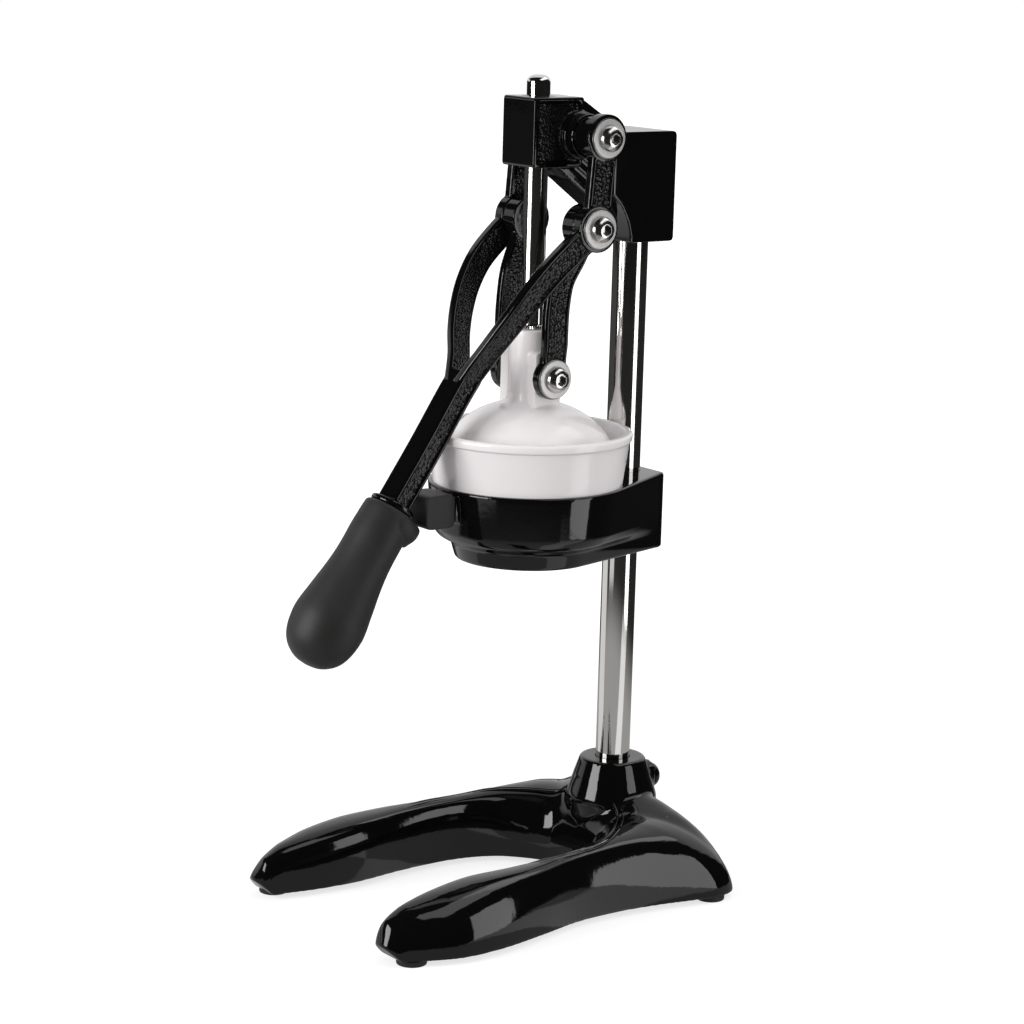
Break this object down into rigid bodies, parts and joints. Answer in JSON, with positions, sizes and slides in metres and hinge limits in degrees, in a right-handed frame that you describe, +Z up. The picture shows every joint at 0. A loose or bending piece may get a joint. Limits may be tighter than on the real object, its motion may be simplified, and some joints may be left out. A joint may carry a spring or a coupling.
{
  "type": "lever citrus juice press",
  "caption": "Lever citrus press: a forked handle and curved links drive a domed bell into a strainer cup held on a column over a horseshoe base.",
  "frame": {"origin": "on the table plane, at the middle of the outline seen from above", "axes": "+X to the right of a person who faces the handle, +Y back towards the column, +Z up along the column"},
  "size_m": [0.1658, 0.2452, 0.4443],
  "materials": {
    "black_paint": "gloss black paint over a casting",
    "polished_steel": "polished",
    "stainless": "bright, lightly brushed",
    "dark_steel": "dark, satin",
    "white_plastic": "gloss white moulding",
    "soft_rubber": "matte charcoal"
  },
  "bodies": {
    "stand": {"base_casting": "black_paint", "foot_front_left": "soft_rubber", "foot_front_right": "soft_rubber", "foot_rear_left": "soft_rubber", "foot_rear_right": "soft_rubber", "column": "polished_steel", "base_clamp_screw": "black_paint", "head_casting": "black_paint", "head_set_screw": "dark_steel", "ram_bush": "dark_steel", "cup_holder": "black_paint", "holder_set_screw": "dark_steel", "rest_bumper": "soft_rubber", "strainer_cup": "white_plastic", "reamer_cone": "white_plastic", "crank_shim_left": "dark_steel", "crank_washer_left": "stainless", "crank_bolt_left": "stainless", "crank_spacer_left": "black_paint", "crank_shim_right": "dark_steel", "crank_washer_right": "stainless", "crank_bolt_right": "stainless", "crank_spacer_right": "black_paint"},
    "handle": {"handle_fork": "black_paint", "link_shim_left": "dark_steel", "link_washer_left": "stainless", "link_bolt_left": "stainless", "link_shim_right": "dark_steel", "link_washer_right": "stainless", "link_bolt_right": "stainless", "grip_ferrule": "black_paint", "grip": "soft_rubber"},
    "ram": {"presser_bell": "white_plastic", "ram_rod": "polished_steel", "ram_lock_ring": "stainless", "presser_shim_left": "dark_steel", "presser_washer_left": "stainless", "presser_bolt_left": "stainless", "neck_insert_left": "dark_steel", "presser_shim_right": "dark_steel", "presser_washer_right": "stainless", "presser_bolt_right": "stainless", "neck_insert_right": "dark_steel"},
    "link_left": {"curved_link_left": "black_paint"},
    "link_right": {"curved_link_right": "black_paint"}
  },
  "joints": [
    {"name": "handle_swing", "type": "hinge", "parent": "stand", "child": "handle", "pos_m": [0, 0.04303, 0.4135], "axis": [-1, 0, 0], "range_deg": [0, 110]},
    {"name": "ram_slide", "type": "slide", "parent": "stand", "child": "ram", "axis": [0, 0, 1], "range_m": [0, 0.0694]},
    {"name": "link_left_turn", "type": "hinge", "parent": "ram", "child": "link_left", "pos_m": [0, 0.02553, 0.28652], "axis": [1, 0, 0], "range_deg": [0, 28]},
    {"name": "link_right_turn", "type": "hinge", "parent": "ram", "child": "link_right", "pos_m": [0, 0.02553, 0.28652], "axis": [1, 0, 0], "range_deg": [0, 28]}
  ],
  "couplings": [
    {"joint": "ram_slide", "follows": "handle_swing", "m_per_rad": 0.036076},
    {"joint": "link_left_turn", "follows": "handle_swing", "ratio": 0.25278},
    {"joint": "link_right_turn", "follows": "handle_swing", "ratio": 0.25278}
  ]
}
